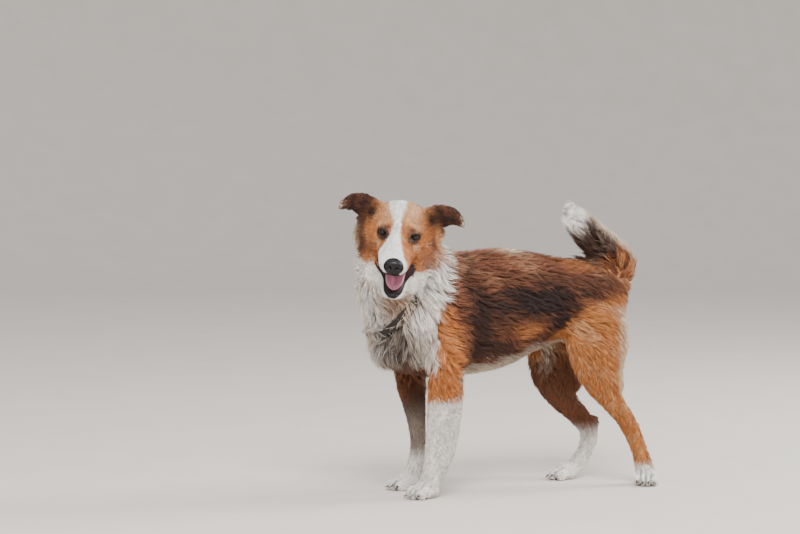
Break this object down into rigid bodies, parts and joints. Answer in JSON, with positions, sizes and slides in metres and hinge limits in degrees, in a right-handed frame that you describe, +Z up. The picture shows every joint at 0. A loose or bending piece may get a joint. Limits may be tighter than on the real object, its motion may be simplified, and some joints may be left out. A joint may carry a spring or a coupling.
{
  "type": "dog",
  "caption": "Life-size still model of a standing medium-sized shepherd-type mixed-breed dog, rough brown and white coat, head turned to its left, mouth open, wearing a plain dark collar.",
  "frame": {"origin": "on the floor, under the middle of the dog's bounding box", "axes": "+Z up, the dog faces -Y, its left side is +X"},
  "size_m": [0.281, 0.71, 0.6369],
  "materials": {
    "coat": "rough sable-brown fur with white legs, blaze and tail tip, dark saddle and ears",
    "ruff": "long white fur of the neck and chest",
    "eye": "dark brown, wet gloss",
    "nose": "moist black, finely pebbled",
    "tongue": "moist pink",
    "collar": "dark, dull strap"
  },
  "bodies": {
    "root": {"head": "coat", "left_ear": "coat", "right_ear": "coat", "left_eye": "eye", "right_eye": "eye", "nose": "nose", "tongue": "tongue", "neck": "ruff", "collar": "collar", "trunk": "coat", "tail": "coat", "left_foreleg": "coat", "right_foreleg": "coat", "left_hind_leg": "coat", "right_hind_leg": "coat"}
  },
  "joints": []
}
